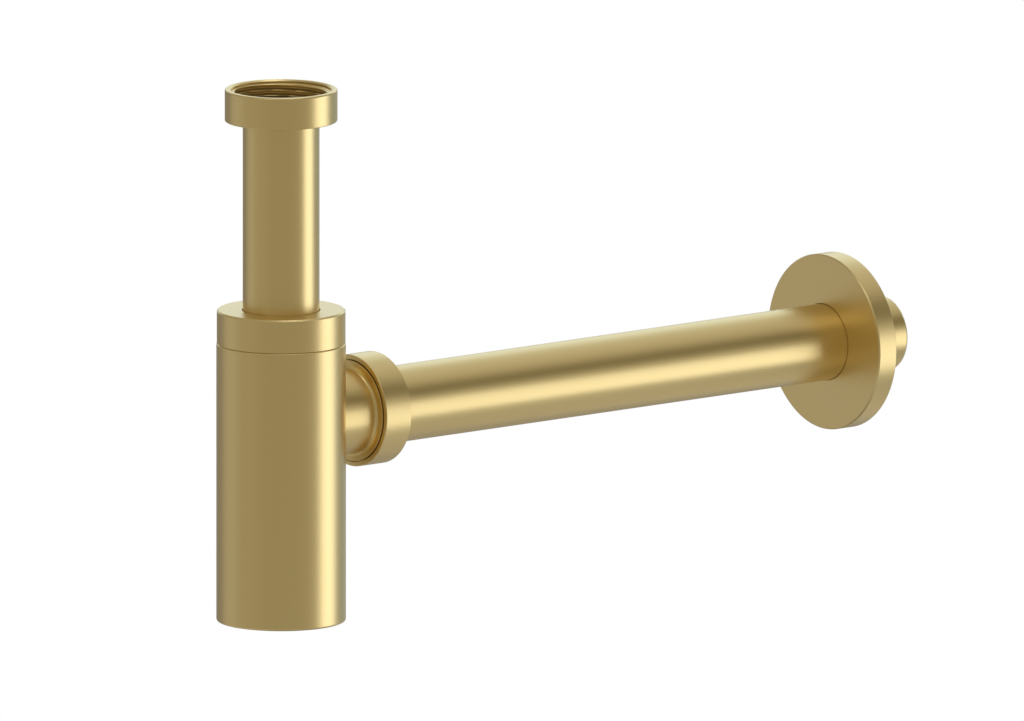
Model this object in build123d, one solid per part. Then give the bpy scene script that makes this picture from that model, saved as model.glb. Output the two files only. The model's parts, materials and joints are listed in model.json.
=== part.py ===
from build123d import *
import os

# Bottle trap for a wash basin, in brass: inlet nut, dip tube, bottle, wall tube and wall flange.
# Millimetres. +Z is up along the inlet, +X runs along the wall tube to the wall.
# The origin is the centre of the inlet nut's mouth.

# Layout
OVERALL_HEIGHT = 225.0  # from the bottle's underside to the inlet's mouth
BASE_Z = -OVERALL_HEIGHT
OUTLET_Z = BASE_Z + 84.5  # axis of the wall tube
COLLAR_TOP_Z = BASE_Z + 131.6
COLLAR_HEIGHT = 14.0
OUTLET_NUT_END_X = 51.2
FLANGE_FACE_X = 292.6

# Tubes
TUBE_RADIUS = 16.0
TUBE_BORE_RADIUS = 15.0
DIP_END_Z = BASE_Z + 18.0  # leaves a water seal of 50 mm below the outlet
WALL_TUBE_START_X = 25.3
WALL_TUBE_LENGTH = 300.0
TAIL_RADIUS = 15.8  # the tail is sized down a little for the drain's rubber socket
TAIL_LENGTH = 22.9
TAIL_CHAMFER = 0.8

# Room between pieces that move on each other
SLIDING_GAP = 0.35  # around a tube in a nut or flange
THREAD_GAP = 0.35  # between plain stand-ins for a nut's thread and its mate
RUBBER_GAP = 0.05  # a seal that hugs its tube
STACK_GAP = 0.2  # between the pieces of a compression joint, along its axis
SEAM_GAP = 0.3  # the fine dark line between collar and bottle

# Compression joint, measured outwards from the end of its socket
SEAL_TOP = 1.6
SLIP_RING_THICKNESS = 2.0
WEB_THICKNESS = 3.0  # the nut's end wall
WEB_START = SEAL_TOP + STACK_GAP + SLIP_RING_THICKNESS + STACK_GAP
JOINT_LENGTH = WEB_START + WEB_THICKNESS

# Bottle
BOTTLE_RADIUS = 27.0
BOTTLE_WALL = 2.0
FLOOR_THICKNESS = 3.0
FLOOR_ROUNDING = 4.0
BASE_ROUNDING = 1.0
NECK_TOP_Z = COLLAR_TOP_Z - JOINT_LENGTH
NECK_RADIUS = 23.9  # G1 1/2 thread
NECK_BORE_RADIUS = 21.0
NECK_SEAT_RADIUS = 22.9  # wide end of the seal's 45 degree seat
SHOULDER_Z = COLLAR_TOP_Z - COLLAR_HEIGHT - SEAM_GAP
SEAM_CHAMFER = 0.4

# Outlet spigot, along +X
SPIGOT_END_X = OUTLET_NUT_END_X - JOINT_LENGTH
SPIGOT_ROOT_X = 15.0  # inside the bottle's cavity, trimmed by it
SPIGOT_NECK_RADIUS = 17.8
SPIGOT_RIM_RADIUS = 21.0
SPIGOT_RIM_X = 37.1  # flat face of the rim, level with the nut's mouth
SPIGOT_RIM_WIDTH = 1.3
RIM_FILLET = 1.3  # between the neck and the rim's face
SPIGOT_THREAD_RADIUS = 20.5  # G1 1/4 thread
SPIGOT_BORE_RADIUS = 16.4
SPIGOT_SEAT_RADIUS = 19.6
THREAD_CHAMFER = 0.4

# Nuts
NUT_RADIUS = 23.5
NUT_HEIGHT = 13.5
NUT_CHAMFER = 0.5
COLLAR_CHAMFER = 0.7
NUT_MOUTH_RADIUS = 21.65
NUT_MOUTH_DEPTH = 1.5
INLET_THREAD_RADIUS = 19.48  # crests of the G1 1/4 female thread
INLET_THREAD_DEPTH = 7.0
INLET_LEAD_RADIUS = 20.7
INLET_LEAD_DEPTH = 0.45
INLET_RELIEF_RADIUS = 20.7
INLET_LIP = 2.5

# Flange and washer at the top of the inlet tube
TUBE_FLANGE_RADIUS = 19.0
TUBE_FLANGE_THICKNESS = 1.6
TUBE_FLANGE_Z = INLET_LIP - NUT_HEIGHT + STACK_GAP
WASHER_BORE_RADIUS = 15.3
WASHER_THICKNESS = 1.9

# Wall flange
FLANGE_RADIUS = 36.8
FLANGE_THICKNESS = 9.5
FLANGE_WALL = 2.0
FLANGE_CHAMFER = 0.4
HUB_RADIUS = 20.6
HUB_LENGTH = 8.0
O_RING_SECTION = 1.3
O_RING_OFFSET = 4.2  # from the flange's face to the ring's middle
GROOVE_WIDTH = 3.0
GROOVE_ROOM = 0.1

# Pieces on the wall tube are turned about Z, then laid along the outlet
OUTLET = Plane(origin=(0, 0, OUTLET_Z), x_dir=(0, 1, 0), z_dir=(1, 0, 0))
ON_NECK = Pos(0, 0, NECK_TOP_Z)
ON_SPIGOT = OUTLET * Pos(0, 0, SPIGOT_END_X)


def turned(*outline):
    """A solid turned about Z from (radius, height) points."""
    return revolve(make_face(Plane.XZ * Polyline(*outline, close=True)), Axis.Z)


def rims(solid, radius):
    """The round edges of one radius, lowest first."""
    circles = solid.edges().filter_by(GeomType.CIRCLE)
    return circles.filter_by(lambda edge: abs(edge.radius - radius) < 0.01).sort_by(Axis.Z)


def socket_room(bore, seat, depth):
    """What a compression joint cuts from its socket: the tube's room and the seal's conical seat."""
    above = STACK_GAP
    return turned(
        (0, -depth),
        (bore, -depth),
        (bore, bore - seat),
        (seat, 0),
        (seat, above),
        (0, above),
    )


def compression_seal(bore, seat):
    """Tapered rubber ring that sits in the socket's seat and hugs the tube."""
    inside = TUBE_RADIUS + RUBBER_GAP
    outside = seat - STACK_GAP
    tip = bore - seat + STACK_GAP
    return turned(
        (inside, tip),
        (bore, tip),
        (outside, tip + outside - bore),
        (outside, SEAL_TOP),
        (inside, SEAL_TOP),
    )


def slip_ring(seat):
    """Plastic ring between a seal and the nut that presses it."""
    bottom = SEAL_TOP + STACK_GAP
    top = bottom + SLIP_RING_THICKNESS
    inside = TUBE_RADIUS + SLIDING_GAP
    return turned((inside, bottom), (seat, bottom), (seat, top), (inside, top))


def bottle_body():
    """Bottle with a closed floor, a neck for the collar and a rimmed spigot for the outlet nut."""
    body = turned(
        (0, BASE_Z),
        (BOTTLE_RADIUS, BASE_Z),
        (BOTTLE_RADIUS, SHOULDER_Z),
        (NECK_RADIUS, SHOULDER_Z),
        (NECK_RADIUS, NECK_TOP_Z),
        (0, NECK_TOP_Z),
    )
    body = fillet(rims(body, BOTTLE_RADIUS)[0], BASE_ROUNDING)
    body = chamfer(rims(body, BOTTLE_RADIUS)[-1], SEAM_CHAMFER)
    body = chamfer(rims(body, NECK_RADIUS)[-1], THREAD_CHAMFER)
    body += OUTLET * spigot()
    body -= bottle_cavity()
    body -= ON_NECK * socket_room(NECK_BORE_RADIUS, NECK_SEAT_RADIUS, NECK_TOP_Z - SHOULDER_Z)
    body -= ON_SPIGOT * socket_room(SPIGOT_BORE_RADIUS, SPIGOT_SEAT_RADIUS, SPIGOT_END_X - SPIGOT_ROOT_X)
    return body


def spigot():
    """Solid spigot about Z: a slim neck, a flat rim that fills the nut's mouth, then the thread."""
    rim_end = SPIGOT_RIM_X + SPIGOT_RIM_WIDTH
    solid = turned(
        (0, SPIGOT_ROOT_X),
        (SPIGOT_NECK_RADIUS, SPIGOT_ROOT_X),
        (SPIGOT_NECK_RADIUS, SPIGOT_RIM_X),
        (SPIGOT_RIM_RADIUS, SPIGOT_RIM_X),
        (SPIGOT_RIM_RADIUS, rim_end),
        (SPIGOT_THREAD_RADIUS, rim_end),
        (SPIGOT_THREAD_RADIUS, SPIGOT_END_X),
        (0, SPIGOT_END_X),
    )
    solid = fillet(rims(solid, SPIGOT_NECK_RADIUS)[-1], RIM_FILLET)
    return chamfer(rims(solid, SPIGOT_THREAD_RADIUS)[-1], THREAD_CHAMFER)


def bottle_cavity():
    """The bottle's inside: a round-cornered cup that narrows to the neck's bore."""
    radius = BOTTLE_RADIUS - BOTTLE_WALL
    floor = BASE_Z + FLOOR_THICKNESS
    wide = SHOULDER_Z - (radius - NECK_BORE_RADIUS)
    cavity = turned(
        (0, floor),
        (radius, floor),
        (radius, wide),
        (NECK_BORE_RADIUS, SHOULDER_Z),
        (0, SHOULDER_Z),
    )
    return fillet(rims(cavity, radius)[0], FLOOR_ROUNDING)


def collar():
    """Cap nut as wide as the bottle, which presses the seal onto the inlet tube."""
    bottom = COLLAR_TOP_Z - COLLAR_HEIGHT
    thread = NECK_RADIUS + THREAD_GAP
    web = COLLAR_TOP_Z - WEB_THICKNESS
    bore = TUBE_RADIUS + SLIDING_GAP
    nut = turned(
        (thread, bottom),
        (BOTTLE_RADIUS, bottom),
        (BOTTLE_RADIUS, COLLAR_TOP_Z),
        (bore, COLLAR_TOP_Z),
        (bore, web),
        (thread, web),
    )
    nut = chamfer(rims(nut, BOTTLE_RADIUS)[-1], COLLAR_CHAMFER)
    nut = chamfer(rims(nut, BOTTLE_RADIUS)[0], SEAM_CHAMFER)
    return chamfer(rims(nut, thread)[0], THREAD_CHAMFER)


def inlet_nut():
    """Union nut: thread for the basin's waste above, a lip that holds the tube's flange below."""
    bottom = -NUT_HEIGHT
    lip = bottom + INLET_LIP
    bore = TUBE_RADIUS + SLIDING_GAP
    nut = turned(
        (INLET_LEAD_RADIUS, 0),
        (INLET_THREAD_RADIUS, -INLET_LEAD_DEPTH),
        (INLET_THREAD_RADIUS, -INLET_THREAD_DEPTH),
        (INLET_RELIEF_RADIUS, -INLET_THREAD_DEPTH),
        (INLET_RELIEF_RADIUS, lip),
        (bore, lip),
        (bore, bottom),
        (NUT_RADIUS, bottom),
        (NUT_RADIUS, 0),
    )
    return chamfer(rims(nut, NUT_RADIUS), NUT_CHAMFER)


def outlet_nut():
    """Compression nut on the spigot, which presses the seal onto the wall tube."""
    start = OUTLET_NUT_END_X - NUT_HEIGHT
    thread = SPIGOT_THREAD_RADIUS + THREAD_GAP
    web = OUTLET_NUT_END_X - WEB_THICKNESS
    bore = TUBE_RADIUS + SLIDING_GAP
    nut = turned(
        (NUT_MOUTH_RADIUS, start),
        (NUT_RADIUS, start),
        (NUT_RADIUS, OUTLET_NUT_END_X),
        (bore, OUTLET_NUT_END_X),
        (bore, web),
        (thread, web),
        (thread, start + NUT_MOUTH_DEPTH),
        (NUT_MOUTH_RADIUS, start + NUT_MOUTH_DEPTH),
    )
    return OUTLET * chamfer(rims(nut, NUT_RADIUS), NUT_CHAMFER)


def inlet_tube():
    """Dip tube with a flange at its top, which hangs in the inlet nut."""
    flange_top = TUBE_FLANGE_Z + TUBE_FLANGE_THICKNESS
    return turned(
        (TUBE_BORE_RADIUS, DIP_END_Z),
        (TUBE_RADIUS, DIP_END_Z),
        (TUBE_RADIUS, TUBE_FLANGE_Z),
        (TUBE_FLANGE_RADIUS, TUBE_FLANGE_Z),
        (TUBE_FLANGE_RADIUS, flange_top),
        (TUBE_BORE_RADIUS, flange_top),
    )


def inlet_washer():
    """Flat rubber washer on the inlet tube's flange."""
    bottom = TUBE_FLANGE_Z + TUBE_FLANGE_THICKNESS
    top = bottom + WASHER_THICKNESS
    return turned(
        (WASHER_BORE_RADIUS, bottom),
        (TUBE_FLANGE_RADIUS, bottom),
        (TUBE_FLANGE_RADIUS, top),
        (WASHER_BORE_RADIUS, top),
    )


def wall_tube():
    """Straight tube from the bottle through the wall flange, with a sized tail."""
    end = WALL_TUBE_START_X + WALL_TUBE_LENGTH
    tail = end - TAIL_LENGTH
    tube = turned(
        (TUBE_BORE_RADIUS, WALL_TUBE_START_X),
        (TUBE_RADIUS, WALL_TUBE_START_X),
        (TUBE_RADIUS, tail),
        (TAIL_RADIUS, tail),
        (TAIL_RADIUS, end - TAIL_CHAMFER),
        (TAIL_RADIUS - TAIL_CHAMFER / 2, end),
        (TUBE_BORE_RADIUS, end),
    )
    return OUTLET * tube


def wall_flange():
    """Turned cover flange, hollow at its back, with a hub that holds a rubber ring."""
    bore = TUBE_RADIUS + SLIDING_GAP
    back = FLANGE_FACE_X + FLANGE_THICKNESS
    recess = FLANGE_FACE_X + FLANGE_WALL
    hub_end = FLANGE_FACE_X + HUB_LENGTH
    groove_radius = TUBE_RADIUS + RUBBER_GAP + 2 * O_RING_SECTION + GROOVE_ROOM
    groove_start = FLANGE_FACE_X + O_RING_OFFSET - GROOVE_WIDTH / 2
    groove_end = groove_start + GROOVE_WIDTH
    flange = turned(
        (bore, FLANGE_FACE_X),
        (FLANGE_RADIUS, FLANGE_FACE_X),
        (FLANGE_RADIUS, back),
        (FLANGE_RADIUS - FLANGE_WALL, back),
        (FLANGE_RADIUS - FLANGE_WALL, recess),
        (HUB_RADIUS, recess),
        (HUB_RADIUS, hub_end),
        (bore, hub_end),
        (bore, groove_end),
        (groove_radius, groove_end),
        (groove_radius, groove_start),
        (bore, groove_start),
    )
    return OUTLET * chamfer(rims(flange, FLANGE_RADIUS), FLANGE_CHAMFER)


def flange_o_ring():
    """Round rubber ring in the flange's hub, which holds the flange where it is put."""
    ring = Torus(TUBE_RADIUS + RUBBER_GAP + O_RING_SECTION, O_RING_SECTION)
    return OUTLET * Pos(0, 0, FLANGE_FACE_X + O_RING_OFFSET) * ring


NODES = {
    "bottle_body": bottle_body(),
    "collar": collar(),
    "collar_slip_ring": ON_NECK * slip_ring(NECK_SEAT_RADIUS),
    "collar_seal": ON_NECK * compression_seal(NECK_BORE_RADIUS, NECK_SEAT_RADIUS),
    "inlet_tube": inlet_tube(),
    "inlet_washer": inlet_washer(),
    "inlet_nut": inlet_nut(),
    "outlet_nut": outlet_nut(),
    "outlet_slip_ring": ON_SPIGOT * slip_ring(SPIGOT_SEAT_RADIUS),
    "outlet_seal": ON_SPIGOT * compression_seal(SPIGOT_BORE_RADIUS, SPIGOT_SEAT_RADIUS),
    "wall_tube": wall_tube(),
    "wall_flange": wall_flange(),
    "flange_o_ring": flange_o_ring(),
}

os.makedirs("parts", exist_ok=True)
for name, solid in NODES.items():
    export_step(solid, f"parts/{name}.step")
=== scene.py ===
"""Basin trap in satin brass: turned pieces with eased edges and helical threads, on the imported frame."""

import cmath
import json
import math
from dataclasses import dataclass

import bmesh
import bpy
from mathutils import Matrix, Vector


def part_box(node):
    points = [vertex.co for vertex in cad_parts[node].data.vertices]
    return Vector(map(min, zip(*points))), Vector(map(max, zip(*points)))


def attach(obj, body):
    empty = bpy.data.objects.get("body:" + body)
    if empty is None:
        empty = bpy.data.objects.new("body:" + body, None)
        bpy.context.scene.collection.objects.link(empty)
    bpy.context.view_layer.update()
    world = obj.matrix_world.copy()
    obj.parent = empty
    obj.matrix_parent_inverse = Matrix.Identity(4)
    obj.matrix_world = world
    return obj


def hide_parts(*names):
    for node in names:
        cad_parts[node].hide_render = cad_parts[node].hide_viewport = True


MM = 0.001

# Camera, fitted to the photograph: no perspective, so only its direction and frame matter
CAMERA_TURN = 39.454  # degrees to the left of the -Y side
CAMERA_RISE = 10.168  # degrees above the horizon
CAMERA_TARGET = Vector((0.11236, -0.01483, -0.12583))
CAMERA_FRAME = 0.4266  # width of the view
CAMERA_DISTANCE = 1.0

# Fineness of the turned meshes
SEGMENTS = 192
EASE_STEPS = 4
EASE_STEPS_PER_MM = 2  # added for a larger ease
STEPS_PER_PITCH = 12
SHARP_ANGLE = math.radians(42)
SAME_POINT = 1e-5  # millimetres
WELD = 0.002  # millimetres between points that become one after a boolean
UV_SPAN = 100.0  # millimetres of outline in one unit of V

# Sizes inside the pieces, in millimetres, which the frame's boxes don't give
TUBE_WALL = 1.0
SLIDING_GAP = 0.35
SEAM_GAP = 0.12
WEB = 3.0  # end wall of the collar and the outlet nut
EDGE = 0.15  # a deburred edge
BEVEL_EDGE = 0.1  # rounding at both ends of a bevel
NUT_BEVEL = 0.28
INLET_ROUNDING = 0.8  # of the inlet nut's top
COLLAR_BEVEL = 0.65
COLLAR_INSET = 0.18  # a trace narrower than the bottle
SHOULDER_BEVEL = 0.38
TUBE_FLANGE = 1.6
PITCH = 2.309  # of the G1 1/4 and G1 1/2 threads
THREAD_DEPTH = 1.475
STUB_THREAD_DEPTH = 1.1  # on the neck, the spigot and in their nuts
THREAD_RELIEF = 0.8  # plain wall before and after a thread
RIM_RELIEF = 0.2
THREAD_CHAMFER = 0.4
GROOVE_POWER = 0.75  # below 1, so a groove is broader than its crest
INLET_CREST = 19.48
INLET_MOUTH = 21.7
INLET_LEAD_RADIUS = 20.95  # where the sloping lead ends
INLET_LEAD = 0.62
INLET_THREAD_START = 1.38
INLET_THREAD_END = 7.0
INLET_RELIEF = 20.7
INLET_LIP = 2.5
INLET_PHASE = 0.95  # brings the ridges to the heights seen in the mouth
BOTTLE_WALL = 2.0
FLOOR = 3.0
FLOOR_EASE = 4.0
BASE_EASE = 1.0
NECK_RADIUS = 23.9
NECK_BORE = 21.0
NECK_SEAT = 22.9
SPIGOT_ROOT = 15.0
SPIGOT_NECK = 17.8
SPIGOT_RIM = 21.25
SPIGOT_RIM_START = 37.1
SPIGOT_RIM_END = 38.4
SPIGOT_FILLET = 1.6  # between the neck and the rim's flat face
SPIGOT_THREAD = 20.5
SPIGOT_BORE = 16.4
SPIGOT_SEAT = 19.6
THREAD_ROOM = 0.35
NUT_MOUTH = 21.65
NUT_MOUTH_DEPTH = 1.5
TAIL_RADIUS = 15.8
TAIL_LENGTH = 22.9
TAIL_TAPER = 0.8
FLANGE_WALL = 2.0
FLANGE_BEVEL = 0.5
FLANGE_GAP = 0.13  # between the flange and the tube
RECESS_EASE = 0.6
HUB_RADIUS = 20.6
HUB_LENGTH = 8.0
GROOVE_RADIUS = 18.75
GROOVE_START = 2.7
GROOVE_WIDTH = 3.0
PAST_END = 1.0  # how far a cutting tool runs past an open end

# Looks
BRASS = (0.80, 0.61, 0.265, 1.0)
BRASS_WARM = (0.80, 0.60, 0.25, 1.0)
BRASS_WORN = (0.83, 0.65, 0.31, 1.0)
BRASS_ROUGHNESS = (0.31, 0.39)
BRUSH_LINES = 260.0  # fineness of the lines across the brush's way
EDGE_WEAR = 0.35
RUBBER = (0.022, 0.022, 0.023, 1.0)
RUBBER_DUSTY = (0.045, 0.044, 0.042, 1.0)
NYLON = (0.74, 0.72, 0.66, 1.0)
NYLON_PALE = (0.80, 0.79, 0.74, 1.0)
FLOOR_COLOUR = (0.86, 0.86, 0.85, 1.0)

# Studio: a disc of floor below the hanging trap, soft boxes, and grey cards that only reflections see
FLOOR_HEIGHT = -0.8
FLOOR_RADIUS = 0.85
FLOOR_FADE = 0.55  # share of the radius where the fading starts
FILL_LIGHT = 0.95
CARD_DISTANCE = 5.0
LAMP_DISTANCE = 4.0
LOW_CARD_DISTANCE = 0.6  # just above the floor
EVEN_LEVEL = 0.62  # a card of this level has no tint
TINT_POWERS = (0.0, 0.08, 0.35)  # how far red, green and blue follow a card's level
NEUTRAL = (1.0, 1.01, 1.04)
SKY = (0.93, 1.10, 1.27)
LAMPLIGHT = (1.0, 1.08, 1.27)


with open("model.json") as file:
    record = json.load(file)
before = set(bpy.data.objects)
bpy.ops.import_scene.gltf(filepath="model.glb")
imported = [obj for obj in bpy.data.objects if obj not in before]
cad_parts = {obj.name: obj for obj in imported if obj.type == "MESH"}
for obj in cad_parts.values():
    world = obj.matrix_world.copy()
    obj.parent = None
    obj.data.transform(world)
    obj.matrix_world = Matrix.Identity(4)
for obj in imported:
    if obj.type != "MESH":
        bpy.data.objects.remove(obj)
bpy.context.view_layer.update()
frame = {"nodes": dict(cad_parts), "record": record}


def span(node):
    """A CAD node's lowest and highest corners, in millimetres."""
    low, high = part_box(node)
    return low / MM, high / MM


TUBE = span("wall_tube")[1].y
OUTLET_HEIGHT = (span("wall_tube")[0].z + span("wall_tube")[1].z) / 2
# What is turned about Z is laid along the outlet by this
ON_OUTLET = Matrix.Translation((0, 0, OUTLET_HEIGHT * MM)) @ Matrix.Rotation(math.pi / 2, 4, "Y")


@dataclass
class Thread:
    """A right-hand helical groove in a turned wall of one radius. Depth is positive outwards."""

    radius: float
    low: float
    high: float
    depth: float
    phase: float = 0.0
    runout: float = 1.6

    def corners(self):
        """The wall as outline corners, close enough together to carry the helix."""
        count = math.ceil((self.high - self.low) / PITCH * STEPS_PER_PITCH)
        return [(self.radius, self.low + (self.high - self.low) * k / count, 0) for k in range(count + 1)]

    def cut(self, angle, point):
        """How far the groove moves the surface at one point of the turned outline."""
        inside = self.low <= point.imag <= self.high
        if not inside or abs(point.real - self.radius) > SAME_POINT:
            return 0.0
        turns = point.imag / PITCH - angle / math.tau + self.phase
        groove = (0.5 - 0.5 * math.cos(math.tau * turns)) ** GROOVE_POWER
        to_end = min(point.imag - self.low, self.high - point.imag)
        fade = min(1.0, to_end / self.runout) if self.runout else 1.0
        return self.depth * groove * fade


def bevelled(corners):
    """The outline with each (radius, height, ease, bevel) corner cut off that far from its tip."""
    outline = []
    for i, (radius, height, ease, *bevel) in enumerate(corners):
        if not bevel:
            outline.append((radius, height, ease))
            continue
        corner = complex(radius, height)
        for other in (corners[i - 1], corners[(i + 1) % len(corners)]):
            side = complex(*other[:2]) - corner
            end = corner + side / abs(side) * bevel[0]
            outline.append((end.real, end.imag, ease))
    return outline


def eased(corners):
    """An outline's points as (radius + height j, wear), with an arc at each corner that has an ease."""
    points = []
    for i, (radius, height, ease) in enumerate(corners):
        corner = complex(radius, height)
        if not ease:
            points.append((corner, 0.0))
            continue
        before = complex(*corners[i - 1][:2]) - corner
        after = complex(*corners[(i + 1) % len(corners)][:2]) - corner
        before /= abs(before)
        after /= abs(after)
        half = abs(cmath.phase(after / before)) / 2
        centre = corner + (before + after) / abs(before + after) * ease / math.sin(half)
        start = corner + before * ease / math.tan(half) - centre
        end = corner + after * ease / math.tan(half) - centre
        sweep = cmath.phase(end / start)
        steps = EASE_STEPS + round(EASE_STEPS_PER_MM * ease)
        points += [(centre + start * cmath.exp(1j * sweep * k / steps), 1.0) for k in range(steps + 1)]
    return points


def turned(name, corners, thread=None, laid=None):
    """An object turned about Z from an outline in millimetres, with a thread or laid along the outlet."""
    points = eased(bevelled(corners))
    count = len(points)
    along = [0.0]
    for k in range(count):
        along.append(along[-1] + abs(points[(k + 1) % count][0] - points[k][0]))
    bm = bmesh.new()
    uv = bm.loops.layers.uv.new("turned")
    wear = bm.verts.layers.float.new("wear")
    rings = []
    for segment in range(SEGMENTS):
        angle = math.tau * segment / SEGMENTS
        ring = []
        for point, worn in points:
            radius = point.real + (thread.cut(angle, point) if thread else 0.0)
            place = Vector((radius * math.cos(angle), radius * math.sin(angle), point.imag))
            vert = bm.verts.new(place * MM)
            vert[wear] = worn
            ring.append(vert)
        rings.append(ring)
    for segment, ring in enumerate(rings):
        other = rings[(segment + 1) % SEGMENTS]
        for k in range(count):
            after = (k + 1) % count
            if points[k][0].real == 0 and points[after][0].real == 0:
                continue
            face = bm.faces.new((ring[k], other[k], other[after], ring[after]))
            steps = ((segment, k), (segment + 1, k), (segment + 1, k + 1), (segment, k + 1))
            for loop, (around, length) in zip(face.loops, steps):
                loop[uv].uv = (around / SEGMENTS, along[length] / UV_SPAN)
    bmesh.ops.remove_doubles(bm, verts=bm.verts, dist=SAME_POINT * MM)
    bmesh.ops.recalc_face_normals(bm, faces=bm.faces)
    mesh = bpy.data.meshes.new(name)
    bm.to_mesh(mesh)
    bm.free()
    if laid:
        mesh.transform(laid)
    piece = bpy.data.objects.new(name, mesh)
    bpy.context.scene.collection.objects.link(piece)
    return piece


def combined(piece, operation, tool):
    """The piece with another solid joined to it or cut from it, and the other taken away."""
    step = piece.modifiers.new(operation.lower(), "BOOLEAN")
    step.operation = operation
    step.solver = "EXACT"
    step.object = tool
    shape = bpy.context.evaluated_depsgraph_get()
    mesh = bpy.data.meshes.new_from_object(piece.evaluated_get(shape))
    # Slivers that the boolean leaves are welded away
    bm = bmesh.new()
    bm.from_mesh(mesh)
    bmesh.ops.remove_doubles(bm, verts=bm.verts, dist=WELD * MM)
    bmesh.ops.dissolve_degenerate(bm, edges=bm.edges, dist=WELD * MM)
    bm.to_mesh(mesh)
    bm.free()
    piece.modifiers.clear()
    piece.data = mesh
    bpy.data.objects.remove(tool)
    return piece


def dressed(piece, node, material):
    """The piece takes a CAD node's place, smooth and in its material, and rides on the node's body."""
    piece.data.materials.clear()
    piece.data.materials.append(material)
    piece.data.shade_smooth()
    piece.data.set_sharp_from_angle(angle=SHARP_ANGLE)
    even = piece.modifiers.new("even_normals", "WEIGHTED_NORMAL")
    even.keep_sharp = True
    bodies = frame["record"]["behaviour"]["bodies"]
    body = next(name for name, members in bodies.items() if node in members)
    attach(piece, body)
    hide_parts(node)


# Pieces

def inlet_nut():
    """Union nut with the G1 1/4 thread that is seen in its mouth."""
    low, high = span("inlet_nut")
    lip = low.z + INLET_LIP
    bore = TUBE + SLIDING_GAP
    end = high.z - INLET_THREAD_END
    start = high.z - INLET_THREAD_START
    thread = Thread(INLET_CREST, end, start, THREAD_DEPTH, INLET_PHASE, runout=0)
    outline = [
        (bore, lip, EDGE),
        (INLET_RELIEF, lip, 0),
        (INLET_RELIEF, end, 0),
        *thread.corners(),
        (INLET_LEAD_RADIUS, start, 0),
        (INLET_LEAD_RADIUS, high.z - INLET_LEAD, 0),
        (INLET_MOUTH, high.z, BEVEL_EDGE),
        (high.x, high.z, INLET_ROUNDING),
        (high.x, low.z, BEVEL_EDGE, NUT_BEVEL),
        (bore, low.z, EDGE),
    ]
    return turned("brass_inlet_nut", outline, thread)


def inlet_tube():
    """Dip tube with the flange that hangs in the inlet nut."""
    low, high = span("inlet_tube")
    bore = TUBE - TUBE_WALL
    flange = high.z - TUBE_FLANGE
    outline = [
        (bore, low.z, EDGE),
        (TUBE, low.z, EDGE),
        (TUBE, flange, EDGE),
        (high.x, flange, EDGE),
        (high.x, high.z, EDGE),
        (bore, high.z, EDGE),
    ]
    return turned("brass_inlet_tube", outline)


def collar():
    """Cap nut as wide as the bottle, threaded inside."""
    low, high = span("collar")
    wall = NECK_RADIUS + THREAD_ROOM
    bore = TUBE + SLIDING_GAP
    radius = high.x - COLLAR_INSET
    thread = Thread(wall, low.z + THREAD_RELIEF, high.z - WEB - THREAD_RELIEF, STUB_THREAD_DEPTH)
    outline = [
        (wall, low.z, EDGE),
        *thread.corners(),
        (wall, high.z - WEB, 0),
        (bore, high.z - WEB, EDGE),
        (bore, high.z, EDGE),
        (radius, high.z, BEVEL_EDGE, COLLAR_BEVEL),
        (radius, low.z, BEVEL_EDGE),
    ]
    return turned("brass_collar", outline, thread)


def bottle():
    """Bottle with its threaded neck and rimmed spigot in one piece, hollow and open at both."""
    low, high = span("bottle_body")
    radius = -low.x
    shoulder = span("collar")[0].z - SEAM_GAP
    top = high.z
    neck = Thread(NECK_RADIUS, shoulder + THREAD_RELIEF, top - THREAD_CHAMFER, -STUB_THREAD_DEPTH)
    outside = [
        (0, low.z, 0),
        (radius, low.z, BASE_EASE),
        (radius, shoulder, BEVEL_EDGE, SHOULDER_BEVEL),
        (NECK_RADIUS, shoulder, 0),
        *neck.corners(),
        (NECK_RADIUS - THREAD_CHAMFER, top, 0),
        (0, top, 0),
    ]
    inner = radius - BOTTLE_WALL
    cavity = [
        (0, low.z + FLOOR, 0),
        (inner, low.z + FLOOR, FLOOR_EASE),
        (inner, shoulder - (inner - NECK_BORE), 0),
        (NECK_BORE, shoulder, 0),
        (NECK_BORE, top - (NECK_SEAT - NECK_BORE), 0),
        (NECK_SEAT, top, 0),
        (NECK_SEAT, top + PAST_END, 0),
        (0, top + PAST_END, 0),
    ]
    end = high.x
    stub = Thread(SPIGOT_THREAD, SPIGOT_RIM_END + RIM_RELIEF, end - THREAD_CHAMFER, -STUB_THREAD_DEPTH)
    spigot = [
        (0, SPIGOT_ROOT, 0),
        (SPIGOT_NECK, SPIGOT_ROOT, 0),
        (SPIGOT_NECK, SPIGOT_RIM_START, SPIGOT_FILLET),
        (SPIGOT_RIM, SPIGOT_RIM_START, EDGE),
        (SPIGOT_RIM, SPIGOT_RIM_END, EDGE),
        (SPIGOT_THREAD, SPIGOT_RIM_END, 0),
        *stub.corners(),
        (SPIGOT_THREAD - THREAD_CHAMFER, end, 0),
        (0, end, 0),
    ]
    bore = [
        (0, SPIGOT_ROOT, 0),
        (SPIGOT_BORE, SPIGOT_ROOT, 0),
        (SPIGOT_BORE, end - (SPIGOT_SEAT - SPIGOT_BORE), 0),
        (SPIGOT_SEAT, end, 0),
        (SPIGOT_SEAT, end + PAST_END, 0),
        (0, end + PAST_END, 0),
    ]
    piece = turned("brass_bottle", outside, neck)
    combined(piece, "UNION", turned("spigot_blank", spigot, stub, ON_OUTLET))
    combined(piece, "DIFFERENCE", turned("cavity_tool", cavity))
    return combined(piece, "DIFFERENCE", turned("bore_tool", bore, laid=ON_OUTLET))


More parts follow.
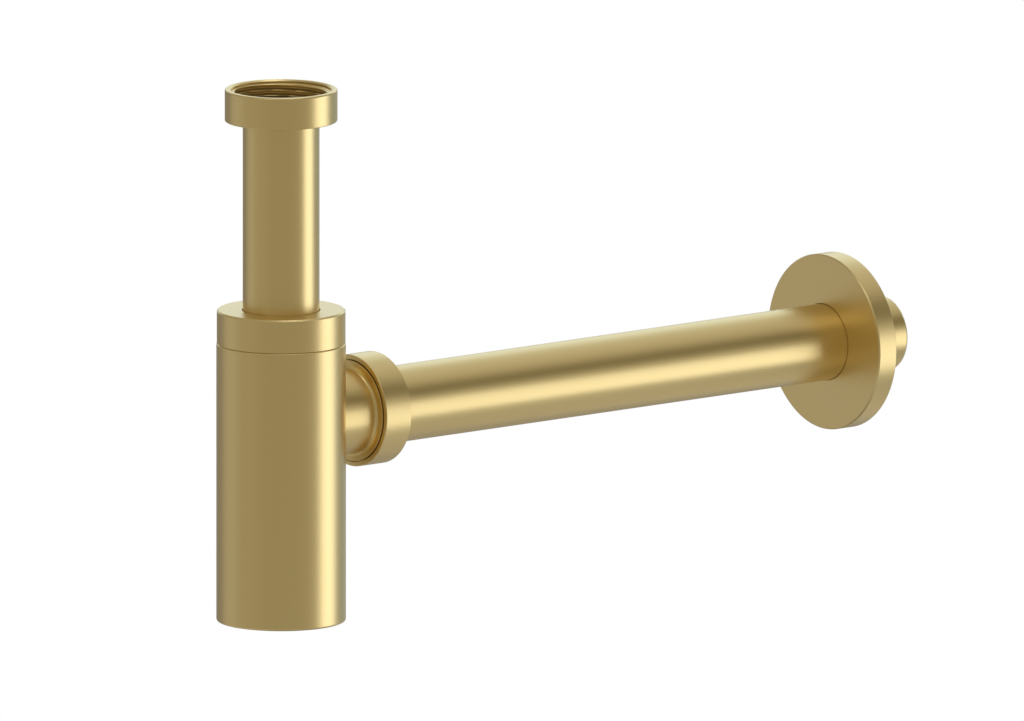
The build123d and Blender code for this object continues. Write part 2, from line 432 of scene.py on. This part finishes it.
def outlet_nut():
    """Compression nut on the spigot, open at its mouth and threaded inside."""
    low, high = span("outlet_nut")
    wall = SPIGOT_THREAD + THREAD_ROOM
    bore = TUBE + SLIDING_GAP
    step = low.x + NUT_MOUTH_DEPTH
    thread = Thread(wall, step + RIM_RELIEF, high.x - WEB - THREAD_RELIEF, STUB_THREAD_DEPTH)
    outline = [
        (NUT_MOUTH, low.x, EDGE),
        (NUT_MOUTH, step, 0),
        (wall, step, 0),
        *thread.corners(),
        (wall, high.x - WEB, 0),
        (bore, high.x - WEB, EDGE),
        (bore, high.x, EDGE),
        (high.y, high.x, BEVEL_EDGE, NUT_BEVEL),
        (high.y, low.x, BEVEL_EDGE, NUT_BEVEL),
    ]
    return turned("brass_outlet_nut", outline, thread, ON_OUTLET)


def wall_tube():
    """Long tube from the bottle into the wall, with its tail sized down."""
    low, high = span("wall_tube")
    bore = TUBE - TUBE_WALL
    tail = high.x - TAIL_LENGTH
    outline = [
        (bore, low.x, EDGE),
        (TUBE, low.x, EDGE),
        (TUBE, tail, EDGE / 2),
        (TAIL_RADIUS, tail, 0),
        (TAIL_RADIUS, high.x - TAIL_TAPER, EDGE),
        (TAIL_RADIUS - TAIL_TAPER / 2, high.x, EDGE),
        (bore, high.x, EDGE),
    ]
    return turned("brass_wall_tube", outline, laid=ON_OUTLET)


def wall_flange():
    """Cover flange, hollow at its back, with a hub that holds the rubber ring."""
    low, high = span("wall_flange")
    bore = TUBE + FLANGE_GAP
    recess = low.x + FLANGE_WALL
    rim = high.y - FLANGE_WALL
    hub = low.x + HUB_LENGTH
    groove = low.x + GROOVE_START
    outline = [
        (bore, low.x, EDGE),
        (high.y, low.x, BEVEL_EDGE, FLANGE_BEVEL),
        (high.y, high.x, BEVEL_EDGE, FLANGE_BEVEL),
        (rim, high.x, EDGE),
        (rim, recess, RECESS_EASE),
        (HUB_RADIUS, recess, RECESS_EASE),
        (HUB_RADIUS, hub, EDGE),
        (bore, hub, EDGE),
        (bore, groove + GROOVE_WIDTH, 0),
        (GROOVE_RADIUS, groove + GROOVE_WIDTH, 0),
        (GROOVE_RADIUS, groove, 0),
        (bore, groove, 0),
    ]
    return turned("brass_wall_flange", outline, laid=ON_OUTLET)


# Materials

def new_material(name):
    """An empty node material with its shader."""
    material = bpy.data.materials.new(name)
    material.use_nodes = True
    return material, material.node_tree, material.node_tree.nodes["Principled BSDF"]


def add(tree, kind, **values):
    """A new node with some of its settings and inputs set."""
    made = tree.nodes.new(kind)
    for key, value in values.items():
        if hasattr(made, key):
            setattr(made, key, value)
        else:
            made.inputs[key.replace("_", " ")].default_value = value
    return made


def satin_brass():
    """Brushed brass: fine lines round each turned piece, soft clouding, and slightly brighter edges."""
    material, tree, shader = new_material("satin_brass")
    link = tree.links.new
    shader.inputs["Metallic"].default_value = 1.0
    # Lines run round the piece: coarse along the turn, fine along the outline
    uv = add(tree, "ShaderNodeUVMap", uv_map="turned")
    parts = add(tree, "ShaderNodeSeparateXYZ")
    link(uv.outputs["UV"], parts.inputs["Vector"])
    turn = add(tree, "ShaderNodeMath", operation="MULTIPLY")
    turn.inputs[1].default_value = math.tau
    link(parts.outputs["X"], turn.inputs[0])
    lines_at = add(tree, "ShaderNodeCombineXYZ")
    for axis, wave in (("X", "COSINE"), ("Y", "SINE")):
        side = add(tree, "ShaderNodeMath", operation=wave)
        link(turn.outputs[0], side.inputs[0])
        link(side.outputs[0], lines_at.inputs[axis])
    fine = add(tree, "ShaderNodeMath", operation="MULTIPLY")
    fine.inputs[1].default_value = BRUSH_LINES
    link(parts.outputs["Y"], fine.inputs[0])
    link(fine.outputs[0], lines_at.inputs["Z"])
    lines = add(tree, "ShaderNodeTexNoise", Scale=2.2, Detail=4.0, Roughness=0.65)
    link(lines_at.outputs["Vector"], lines.inputs["Vector"])
    # Clouding
    place = add(tree, "ShaderNodeTexCoord")
    cloud = add(tree, "ShaderNodeTexNoise", Scale=22.0, Detail=3.0, Roughness=0.5)
    link(place.outputs["Object"], cloud.inputs["Vector"])
    tone = add(tree, "ShaderNodeMix", data_type="RGBA")
    tone.inputs["A"].default_value = BRASS
    tone.inputs["B"].default_value = BRASS_WARM
    link(cloud.outputs["Fac"], tone.inputs["Factor"])
    # Worn edges
    wear = add(tree, "ShaderNodeAttribute", attribute_name="wear")
    amount = add(tree, "ShaderNodeMath", operation="MULTIPLY")
    amount.inputs[1].default_value = EDGE_WEAR
    link(wear.outputs["Fac"], amount.inputs[0])
    worn = add(tree, "ShaderNodeMix", data_type="RGBA")
    worn.inputs["B"].default_value = BRASS_WORN
    link(amount.outputs[0], worn.inputs["Factor"])
    link(tone.outputs["Result"], worn.inputs["A"])
    link(worn.outputs["Result"], shader.inputs["Base Color"])
    gloss = add(tree, "ShaderNodeMapRange")
    gloss.inputs["To Min"].default_value = BRASS_ROUGHNESS[0]
    gloss.inputs["To Max"].default_value = BRASS_ROUGHNESS[1]
    link(lines.outputs["Fac"], gloss.inputs["Value"])
    link(gloss.outputs["Result"], shader.inputs["Roughness"])
    grooves = add(tree, "ShaderNodeBump", Strength=0.06, Distance=0.00005)
    link(lines.outputs["Fac"], grooves.inputs["Height"])
    link(grooves.outputs["Normal"], shader.inputs["Normal"])
    return material


def moulded(name, colour, other, roughness, grain, depth):
    """Moulded rubber or plastic: two close shades and a fine grain."""
    material, tree, shader = new_material(name)
    link = tree.links.new
    place = add(tree, "ShaderNodeTexCoord")
    shade = add(tree, "ShaderNodeTexNoise", Scale=160.0, Detail=3.0)
    link(place.outputs["Object"], shade.inputs["Vector"])
    tone = add(tree, "ShaderNodeMix", data_type="RGBA")
    tone.inputs["A"].default_value = colour
    tone.inputs["B"].default_value = other
    link(shade.outputs["Fac"], tone.inputs["Factor"])
    link(tone.outputs["Result"], shader.inputs["Base Color"])
    shader.inputs["Roughness"].default_value = roughness
    speck = add(tree, "ShaderNodeTexNoise", Scale=grain, Detail=2.0)
    link(place.outputs["Object"], speck.inputs["Vector"])
    relief = add(tree, "ShaderNodeBump", Strength=0.3, Distance=depth)
    link(speck.outputs["Fac"], relief.inputs["Height"])
    link(relief.outputs["Normal"], shader.inputs["Normal"])
    return material


# Studio

def toward(turn, rise, distance):
    """A point seen from the trap's middle, turn degrees to the right of the camera and rise degrees up."""
    bearing = math.radians(turn - 90 - CAMERA_TURN)
    flat = math.cos(math.radians(rise)) * distance
    height = math.sin(math.radians(rise)) * distance
    return CAMERA_TARGET + Vector((flat * math.cos(bearing), flat * math.sin(bearing), height))


def set_camera():
    """Camera without perspective, at the photograph's angle."""
    data = bpy.data.cameras.new("camera")
    data.type = "ORTHO"
    data.ortho_scale = CAMERA_FRAME
    camera = bpy.data.objects.new("camera", data)
    camera.rotation_euler = (math.radians(90 - CAMERA_RISE), 0, math.radians(-CAMERA_TURN))
    camera.location = toward(0, CAMERA_RISE, CAMERA_DISTANCE)
    bpy.context.scene.collection.objects.link(camera)
    bpy.context.scene.camera = camera


def set_world():
    """White for the camera and for reflections, an even soft fill for the rest."""
    world = bpy.data.worlds.new("studio")
    bpy.context.scene.world = world
    world.use_nodes = True
    tree = world.node_tree
    tree.nodes.clear()
    link = tree.links.new
    rays = add(tree, "ShaderNodeLightPath")
    seen = add(tree, "ShaderNodeMath", operation="ADD")
    link(rays.outputs["Is Camera Ray"], seen.inputs[0])
    link(rays.outputs["Is Glossy Ray"], seen.inputs[1])
    all_seen = add(tree, "ShaderNodeMath", operation="ADD", use_clamp=True)
    link(seen.outputs[0], all_seen.inputs[0])
    link(rays.outputs["Is Transmission Ray"], all_seen.inputs[1])
    fill = add(tree, "ShaderNodeBackground", Color=(1, 1, 1, 1), Strength=FILL_LIGHT)
    white = add(tree, "ShaderNodeBackground", Color=(1, 1, 1, 1), Strength=1.0)
    choice = add(tree, "ShaderNodeMixShader")
    link(all_seen.outputs[0], choice.inputs["Fac"])
    link(fill.outputs[0], choice.inputs[1])
    link(white.outputs[0], choice.inputs[2])
    output = add(tree, "ShaderNodeOutputWorld")
    link(choice.outputs[0], output.inputs["Surface"])


def floor():
    """Pale disc well below the trap, fading out at its rim."""
    material, tree, shader = new_material("pale_floor")
    link = tree.links.new
    shader.inputs["Base Color"].default_value = FLOOR_COLOUR
    shader.inputs["Roughness"].default_value = 0.9
    shader.inputs["Specular IOR Level"].default_value = 0.1
    place = add(tree, "ShaderNodeTexCoord")
    reach = add(tree, "ShaderNodeVectorMath", operation="LENGTH")
    link(place.outputs["Object"], reach.inputs[0])
    fade = add(tree, "ShaderNodeMapRange", interpolation_type="SMOOTHSTEP")
    fade.inputs["From Min"].default_value = FLOOR_RADIUS * FLOOR_FADE
    fade.inputs["From Max"].default_value = FLOOR_RADIUS
    link(reach.outputs["Value"], fade.inputs["Value"])
    clear = add(tree, "ShaderNodeBsdfTransparent")
    mix = add(tree, "ShaderNodeMixShader")
    link(fade.outputs["Result"], mix.inputs["Fac"])
    link(shader.outputs[0], mix.inputs[1])
    link(clear.outputs[0], mix.inputs[2])
    link(mix.outputs[0], tree.nodes["Material Output"].inputs["Surface"])
    bm = bmesh.new()
    bmesh.ops.create_circle(bm, cap_ends=True, radius=FLOOR_RADIUS, segments=96)
    mesh = bpy.data.meshes.new("floor")
    bm.to_mesh(mesh)
    bm.free()
    mesh.materials.append(material)
    disc = bpy.data.objects.new("floor", mesh)
    disc.location = (CAMERA_TARGET.x, CAMERA_TARGET.y, FLOOR_HEIGHT)
    bpy.context.scene.collection.objects.link(disc)


def tint(level):
    """Warm for dark cards, cool for bright ones."""
    return tuple((level / EVEN_LEVEL) ** power for power in TINT_POWERS)


def card(name, turns, rises, level, colour=None, distance=CARD_DISTANCE):
    """A curved grey card that only reflections see, between two bearings and two heights in degrees."""
    across, up = 16, 8
    bm = bmesh.new()
    rows = []
    for j in range(up + 1):
        rise = rises[0] + (rises[1] - rises[0]) * j / up
        angles = [turns[0] + (turns[1] - turns[0]) * i / across for i in range(across + 1)]
        rows.append([bm.verts.new(toward(turn, rise, distance)) for turn in angles])
    for lower, upper in zip(rows, rows[1:]):
        for i in range(across):
            bm.faces.new((lower[i], lower[i + 1], upper[i + 1], upper[i]))
    mesh = bpy.data.meshes.new(name)
    bm.to_mesh(mesh)
    bm.free()
    material = bpy.data.materials.new(name)
    material.use_nodes = True
    tree = material.node_tree
    tree.nodes.clear()
    glow = add(tree, "ShaderNodeEmission", Color=(*(colour or tint(level)), 1), Strength=level)
    output = add(tree, "ShaderNodeOutputMaterial")
    tree.links.new(glow.outputs[0], output.inputs["Surface"])
    mesh.materials.append(material)
    panel = bpy.data.objects.new(name, mesh)
    panel.visible_camera = False
    panel.visible_diffuse = False
    panel.visible_shadow = False
    bpy.context.scene.collection.objects.link(panel)


def soft_box(name, turn, rise, spread, brightness):
    """A rectangular lamp that faces the trap. Its spread is in degrees to each side, across and up."""
    width, height = (2 * LAMP_DISTANCE * math.tan(math.radians(each)) for each in spread)
    data = bpy.data.lights.new(name, "AREA")
    data.shape = "RECTANGLE"
    data.size, data.size_y = width, height
    data.color = LAMPLIGHT
    data.energy = brightness * math.pi * width * height
    lamp = bpy.data.objects.new(name, data)
    lamp.location = toward(turn, rise, LAMP_DISTANCE)
    lamp.rotation_euler = (CAMERA_TARGET - lamp.location).to_track_quat("-Z", "Y").to_euler()
    bpy.context.scene.collection.objects.link(lamp)


def cards_and_lamps():
    """What the brass mirrors: grey all round, a strong lamp at the right, two small ones higher up."""
    card("front_card", (-40, 92), (-52, 8), 0.365)
    card("front_left_card", (-85, -40), (-52, 8), 0.4)
    card("left_card", (-122, -85), (-52, 8), 0.48, NEUTRAL)
    card("back_card", (-190, -122), (-52, 6), 0.25, NEUTRAL)
    card("right_card", (92, 140), (-52, 8), 0.29, SKY)
    card("right_back_card", (140, 170), (-52, 6), 0.42, SKY)
    card("glow_card", (60, 140), (8, 20), 0.46)
    card("dark_card", (60, 140), (20, 39), 0.14)
    card("left_upper_card", (-122, 60), (8, 39), 0.36)
    card("left_back_card", (-152, -122), (6, 39), 0.36)
    card("sky_card", (140, 208), (6, 39), 1.08, SKY)
    card("right_top_card", (98, 180), (39, 90), 0.58)
    card("left_top_card", (-180, 98), (39, 90), 0.38)
    card("low_card", (-125, 120), (-64, -32), 0.49, NEUTRAL, LOW_CARD_DISTANCE)
    card("low_right_card", (120, 150), (-64, -32), 0.53, NEUTRAL, LOW_CARD_DISTANCE)
    card("low_back_card", (150, 235), (-64, -32), 0.38, NEUTRAL, LOW_CARD_DISTANCE)
    card("under_card", (-180, 180), (-90, -64), 0.22, NEUTRAL, LOW_CARD_DISTANCE)
    soft_box("right_box", 91.4, -9.6, (17.8, 17.0), 1.44)
    soft_box("top_box", 90, 83, (9, 11), 1.7)
    soft_box("left_box", -34, 46, (11, 9), 0.95)


def main():
    """The brass pieces in place of their nodes, finishes for the other nodes, then the studio."""
    brass = satin_brass()
    rubber = moulded("black_rubber", RUBBER, RUBBER_DUSTY, roughness=0.62, grain=900.0, depth=0.0001)
    nylon = moulded("natural_nylon", NYLON, NYLON_PALE, roughness=0.42, grain=500.0, depth=0.00005)
    makers = {
        "inlet_nut": inlet_nut,
        "inlet_tube": inlet_tube,
        "collar": collar,
        "bottle_body": bottle,
        "outlet_nut": outlet_nut,
        "wall_tube": wall_tube,
        "wall_flange": wall_flange,
    }
    for node, make in makers.items():
        dressed(make(), node, brass)
    finishes = {"rubber": rubber, "nylon": nylon}
    for part in frame["record"]["subparts"]:
        if part["material_slot"] in finishes:
            for each in frame["nodes"][part["node"]].material_slots:
                each.material = finishes[part["material_slot"]]
    set_camera()
    set_world()
    floor()
    cards_and_lamps()


main()
bpy.context.scene.view_settings.view_transform = "Standard"
